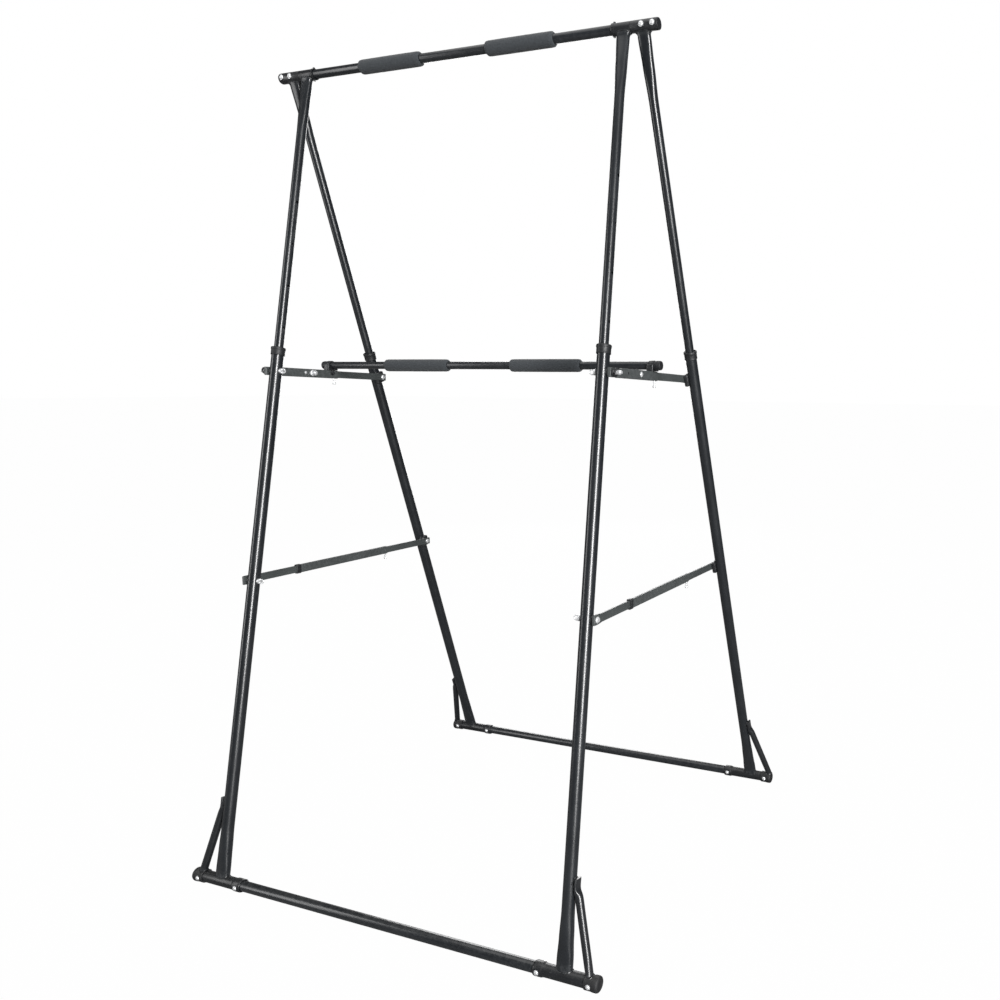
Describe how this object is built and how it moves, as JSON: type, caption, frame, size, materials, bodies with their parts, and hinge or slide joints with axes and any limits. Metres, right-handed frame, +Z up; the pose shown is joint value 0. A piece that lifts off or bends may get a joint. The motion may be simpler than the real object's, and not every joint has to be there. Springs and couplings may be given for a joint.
{
  "type": "gymnastics bar station",
  "caption": "Free-standing folding bar station: two A-frames of black tube, a high bar and a low bar with foam grips, telescoping legs and spreaders.",
  "frame": {"origin": "on the floor in the middle of the footprint", "axes": "+Z up, +X along the bars, -Y to the front frame, +Y to the back frame"},
  "size_m": [1.1866, 1.0596, 1.9903],
  "materials": {
    "powder_black": "satin powder coat",
    "foam_black": "matt closed-cell foam",
    "plastic_black": "moulded matt plastic",
    "rubber_black": "matt rubber",
    "zinc_steel": "bright zinc plate"
  },
  "bodies": {
    "back_lower": {"back_rail": "powder_black", "back_lower_leg_left": "powder_black", "back_lower_leg_right": "powder_black", "back_collar_left": "plastic_black", "back_collar_right": "plastic_black", "back_foot_sleeve_left": "powder_black", "back_foot_sleeve_right": "powder_black", "back_brace_left": "powder_black", "back_brace_right": "powder_black", "back_end_cap_left": "rubber_black", "back_end_cap_right": "rubber_black"},
    "top_frame": {"high_bar": "powder_black", "high_grip_left": "foam_black", "high_grip_right": "foam_black", "back_tee_left": "powder_black", "back_tee_right": "powder_black", "tee_bolt_1_left": "zinc_steel", "tee_bolt_1_right": "zinc_steel", "tee_bolt_2_left": "zinc_steel", "tee_bolt_2_right": "zinc_steel", "back_upper_leg_left": "powder_black", "back_upper_leg_right": "powder_black"},
    "front_upper": {"front_tee_left": "powder_black", "front_tee_right": "powder_black", "front_upper_leg_left": "powder_black", "front_upper_leg_right": "powder_black"},
    "front_lower": {"front_rail": "powder_black", "front_lower_leg_left": "powder_black", "front_lower_leg_right": "powder_black", "front_collar_left": "plastic_black", "front_collar_right": "plastic_black", "front_foot_sleeve_left": "powder_black", "front_foot_sleeve_right": "powder_black", "front_brace_left": "powder_black", "front_brace_right": "powder_black", "front_end_cap_left": "rubber_black", "front_end_cap_right": "rubber_black"},
    "mid_spreader_bars": {"mid_back_bar_left": "powder_black", "mid_back_bar_right": "powder_black"},
    "low_bar_frame": {"low_bar": "powder_black", "mid_channel_left": "powder_black", "mid_channel_right": "powder_black", "low_grip_left": "foam_black", "low_grip_right": "foam_black", "low_bar_seat_left": "powder_black", "low_bar_seat_right": "powder_black"},
    "low_spreader_back_left": {"low_back_bar_left": "powder_black"},
    "low_spreader_front_left": {"low_sleeve_left": "powder_black", "low_front_rod_left": "powder_black"},
    "low_spreader_back_right": {"low_back_bar_right": "powder_black"},
    "low_spreader_front_right": {"low_sleeve_right": "powder_black", "low_front_rod_right": "powder_black"},
    "mid_ring_pin_left": {"mid_ring_pin_left": "zinc_steel"},
    "low_ring_pin_left": {"low_ring_pin_left": "zinc_steel"},
    "mid_pop_pin_left": {"mid_pop_pin_left": "zinc_steel"},
    "low_pop_pin_left": {"low_pop_pin_left": "zinc_steel"},
    "mid_ring_pin_right": {"mid_ring_pin_right": "zinc_steel"},
    "low_ring_pin_right": {"low_ring_pin_right": "zinc_steel"},
    "mid_pop_pin_right": {"mid_pop_pin_right": "zinc_steel"},
    "low_pop_pin_right": {"low_pop_pin_right": "zinc_steel"}
  },
  "joints": [
    {"name": "leg_height", "type": "slide", "parent": "back_lower", "child": "top_frame", "axis": [0, -0.3151, 0.9491], "range_m": [0, 0.103]},
    {"name": "frame_fold", "type": "hinge", "parent": "top_frame", "child": "front_upper", "pos_m": [0, -0.137, 1.974], "axis": [1, 0, 0], "range_deg": [0, 23]},
    {"name": "front_leg_slide", "type": "slide", "parent": "front_upper", "child": "front_lower", "axis": [0, -0.1886, -0.9821], "range_m": [0, 0.103]},
    {"name": "mid_spreader_swing", "type": "hinge", "parent": "back_lower", "child": "mid_spreader_bars", "pos_m": [0, 0.10849, 1.2345], "axis": [-1, 0, 0], "range_deg": [0, 55]},
    {"name": "mid_spreader_slide", "type": "slide", "parent": "mid_spreader_bars", "child": "low_bar_frame", "axis": [0, -0.9996, 0.0272], "range_m": [0, 0.05176]},
    {"name": "low_spreader_swing_left", "type": "hinge", "parent": "back_lower", "child": "low_spreader_back_left", "pos_m": [-0.48751, 0.27763, 0.725], "axis": [-1, 0, 0], "range_deg": [0, 66]},
    {"name": "low_spreader_slide_left", "type": "slide", "parent": "low_spreader_back_left", "child": "low_spreader_front_left", "axis": [0, -0.9999, 0.0153], "range_m": [0, 0.05182]},
    {"name": "low_spreader_swing_right", "type": "hinge", "parent": "back_lower", "child": "low_spreader_back_right", "pos_m": [0.48751, 0.27763, 0.725], "axis": [-1, 0, 0], "range_deg": [0, 66]},
    {"name": "low_spreader_slide_right", "type": "slide", "parent": "low_spreader_back_right", "child": "low_spreader_front_right", "axis": [0, -0.9999, 0.0153], "range_m": [0, 0.05182]},
    {"name": "mid_ring_pin_pull_left", "type": "slide", "parent": "front_lower", "child": "mid_ring_pin_left", "axis": [1, 0, 0], "range_m": [0, 0.03]},
    {"name": "low_ring_pin_pull_left", "type": "slide", "parent": "front_lower", "child": "low_ring_pin_left", "axis": [1, 0, 0], "range_m": [0, 0.03]},
    {"name": "mid_pop_pin_pull_left", "type": "slide", "parent": "low_bar_frame", "child": "mid_pop_pin_left", "axis": [0, -0.0272, -0.9996], "range_m": [0, 0.006], "stiffness_N_per_m": 400},
    {"name": "low_pop_pin_pull_left", "type": "slide", "parent": "low_spreader_front_left", "child": "low_pop_pin_left", "axis": [0, -0.0153, -0.9999], "range_m": [0, 0.006], "stiffness_N_per_m": 400},
    {"name": "mid_ring_pin_pull_right", "type": "slide", "parent": "front_lower", "child": "mid_ring_pin_right", "axis": [-1, 0, 0], "range_m": [0, 0.03]},
    {"name": "low_ring_pin_pull_right", "type": "slide", "parent": "front_lower", "child": "low_ring_pin_right", "axis": [-1, 0, 0], "range_m": [0, 0.03]},
    {"name": "mid_pop_pin_pull_right", "type": "slide", "parent": "low_bar_frame", "child": "mid_pop_pin_right", "axis": [0, -0.0272, -0.9996], "range_m": [0, 0.006], "stiffness_N_per_m": 400},
    {"name": "low_pop_pin_pull_right", "type": "slide", "parent": "low_spreader_front_right", "child": "low_pop_pin_right", "axis": [0, -0.0153, -0.9999], "range_m": [0, 0.006], "stiffness_N_per_m": 400}
  ],
  "couplings": [
    {"joint": "front_leg_slide", "follows": "leg_height", "ratio": 1},
    {"joint": "mid_spreader_swing", "follows": "frame_fold", "ratio": 2.3913},
    {"joint": "mid_spreader_slide", "follows": "leg_height", "ratio": 0.50256},
    {"joint": "low_spreader_swing_left", "follows": "frame_fold", "ratio": 2.8696},
    {"joint": "low_spreader_slide_left", "follows": "leg_height", "ratio": 0.50308},
    {"joint": "low_spreader_swing_right", "follows": "frame_fold", "ratio": 2.8696},
    {"joint": "low_spreader_slide_right", "follows": "leg_height", "ratio": 0.50308}
  ]
}
